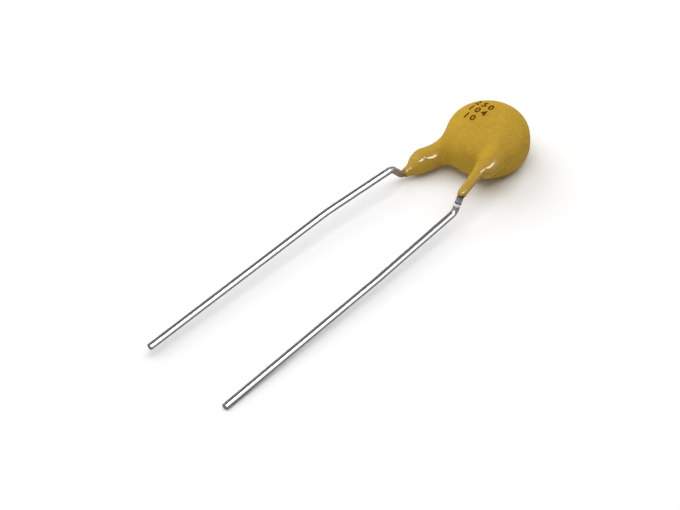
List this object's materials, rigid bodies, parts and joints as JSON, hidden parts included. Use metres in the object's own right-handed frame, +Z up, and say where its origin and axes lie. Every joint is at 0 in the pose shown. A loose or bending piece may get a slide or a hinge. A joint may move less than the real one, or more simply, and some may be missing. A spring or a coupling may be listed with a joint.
{
  "type": "ceramic disc capacitor",
  "caption": "Radial ceramic disc capacitor with an ochre epoxy dip coat that runs down in bulbs onto its kinked bare wire leads.",
  "frame": {"origin": "middle of the bounding box in X and Y, on the surface the capacitor lies on", "axes": "+Y along the leads towards the disc, +X across the two leads, +Z up from the surface, through the disc's thickness"},
  "size_m": [0.0098, 0.0411, 0.0044],
  "materials": {
    "coating": "satin ochre epoxy resin",
    "ceramic": "sintered, matte",
    "silver": "fired silver, matte",
    "solder": "dull tin solder",
    "wire": "bright tin plate on copper"
  },
  "bodies": {
    "root": {"coating": "coating", "ceramic_disc": "ceramic", "front_electrode": "silver", "rear_electrode": "silver", "front_solder": "solder", "rear_solder": "solder", "front_lead": "wire", "rear_lead": "wire"}
  },
  "joints": []
}
